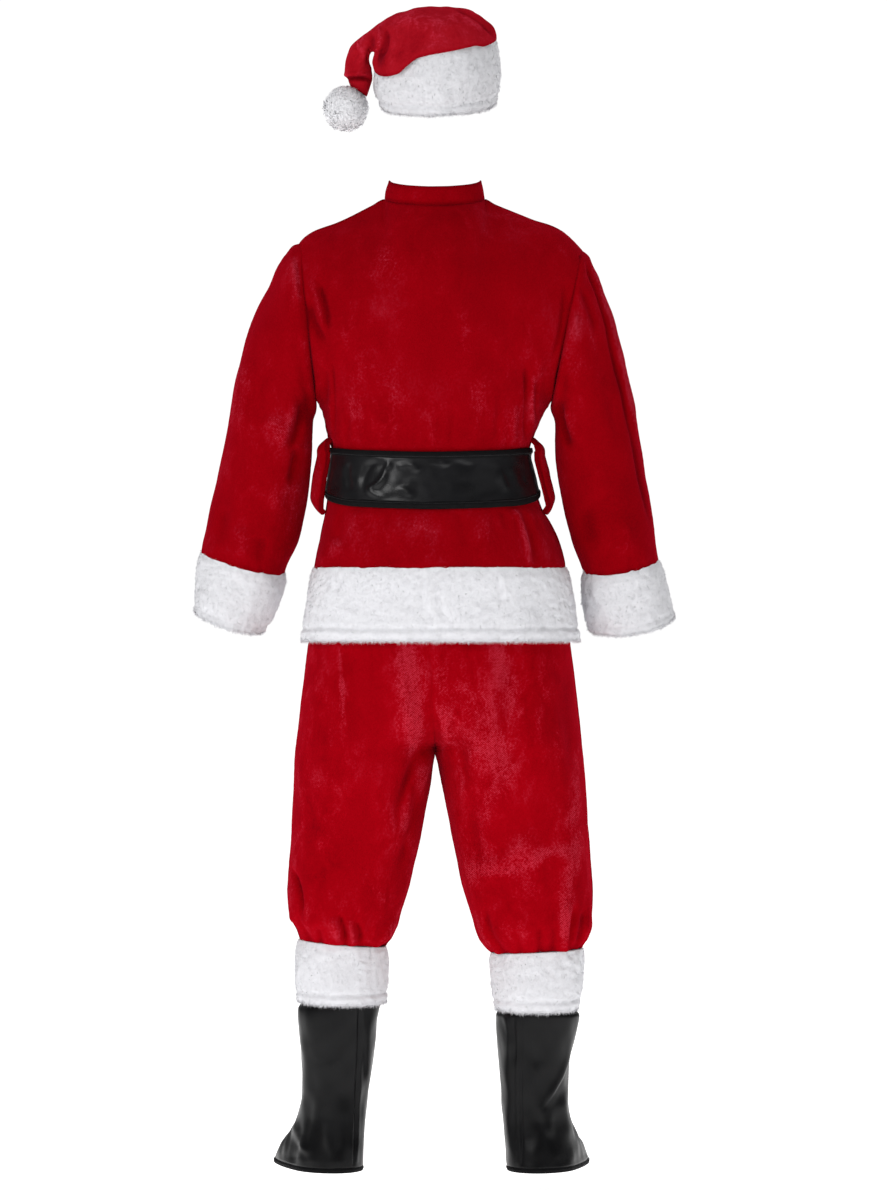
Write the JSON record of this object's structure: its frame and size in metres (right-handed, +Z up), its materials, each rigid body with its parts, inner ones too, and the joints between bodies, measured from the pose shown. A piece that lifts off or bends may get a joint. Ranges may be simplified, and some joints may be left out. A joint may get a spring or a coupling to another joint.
{
  "type": "santa suit",
  "caption": "Plush costume suit in its worn pose: open jacket and trouser hollows with fur-trimmed edges, wide belt, boot covers and a cap with a pom-pom tail.",
  "frame": {"origin": "base of the neck opening, in the middle of the neck, where the wearer's shoulders carry the jacket", "axes": "+Z up, the suit's front towards -Y and its back towards +Y, the wearer's left towards +X"},
  "size_m": [0.7484, 0.3104, 1.805],
  "materials": {
    "red_plush": "deep red short-pile plush with brushed, lighter patches",
    "white_plush": "white short-pile fur fabric with fuzzy edges",
    "black_leatherette": "black satin leatherette",
    "buckle_metal": "plain satin metal"
  },
  "bodies": {
    "root": {"jacket_back": "red_plush", "jacket_front_left": "red_plush", "jacket_front_right": "red_plush", "jacket_collar": "red_plush", "sleeve_left": "red_plush", "sleeve_right": "red_plush", "belt_loop_left": "red_plush", "belt_loop_right": "red_plush", "trouser_back_left": "red_plush", "trouser_back_right": "red_plush", "trouser_front_left": "red_plush", "trouser_front_right": "red_plush", "trouser_waist_casing": "red_plush", "hat_crown": "red_plush", "sleeve_band_left": "white_plush", "sleeve_band_right": "white_plush", "hem_band_back": "white_plush", "hem_band_front_left": "white_plush", "hem_band_front_right": "white_plush", "leg_band_left": "white_plush", "leg_band_right": "white_plush", "hat_band": "white_plush", "hat_pompom": "white_plush", "belt_strap": "black_leatherette", "belt_binding_top": "black_leatherette", "belt_binding_bottom": "black_leatherette", "boot_cover_left": "black_leatherette", "boot_cover_right": "black_leatherette", "boot_binding_left": "black_leatherette", "boot_binding_right": "black_leatherette", "buckle_frame": "buckle_metal", "buckle_prong": "buckle_metal"}
  },
  "joints": []
}
